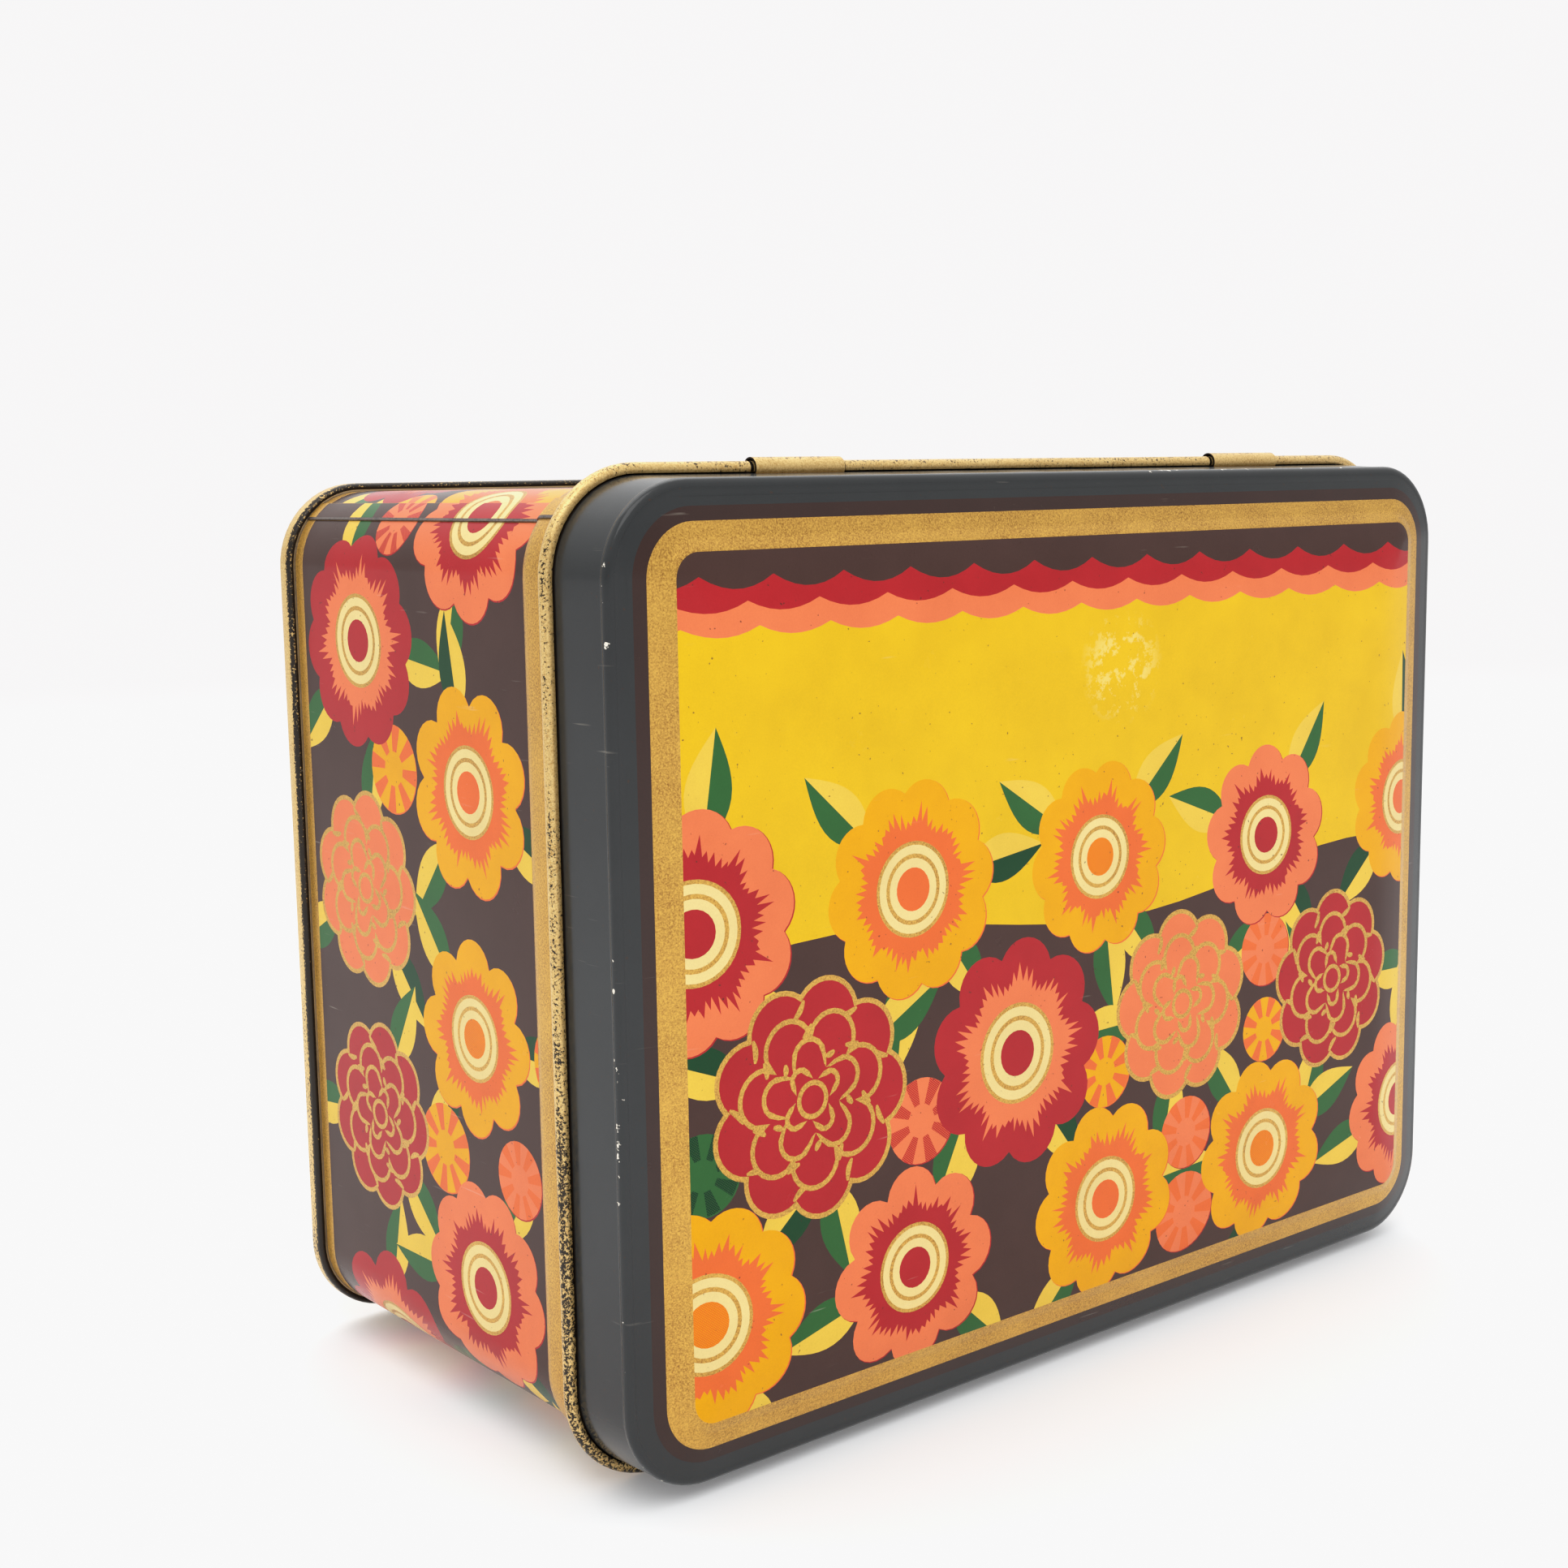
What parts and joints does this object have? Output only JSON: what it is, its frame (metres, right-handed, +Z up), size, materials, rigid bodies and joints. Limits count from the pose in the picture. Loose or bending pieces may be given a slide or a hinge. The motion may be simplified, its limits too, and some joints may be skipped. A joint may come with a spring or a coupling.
{
  "type": "hinged lunch tin",
  "caption": "Rectangular tinplate box standing on its long side, with a hinged lid, raised lid panel, gold curled edge, two rolled hinge knuckles and a double-seamed base panel.",
  "frame": {"origin": "bottom centre of the whole tin as it stands on its long narrow side", "axes": "+X along the long side, to the right as seen facing the lid; +Y from the lid to the base panel; +Z up, from the resting side to the hinge side"},
  "size_m": [0.2514, 0.1318, 0.1979],
  "materials": {
    "body_print": "gloss lithographed enamel in brown, crimson, coral, yellow and green with a grainy gold front band",
    "lid_print": "gloss lithographed enamel, dark grey rim and skirt, gold border and many-coloured panel",
    "gold_lacquer": "gold lacquer on tinplate, worn to black along the seam",
    "bare_wire": "drawn steel wire"
  },
  "bodies": {
    "body": {"body_wall": "body_print", "base_panel": "gold_lacquer"},
    "lid": {"lid_shell": "lid_print", "hinge_wire": "bare_wire"}
  },
  "joints": [
    {"name": "lid_hinge", "type": "hinge", "parent": "body", "child": "lid", "pos_m": [0, -0.04425, 0.19575], "axis": [-1, 0, 0], "range_deg": [0, 180]}
  ]
}
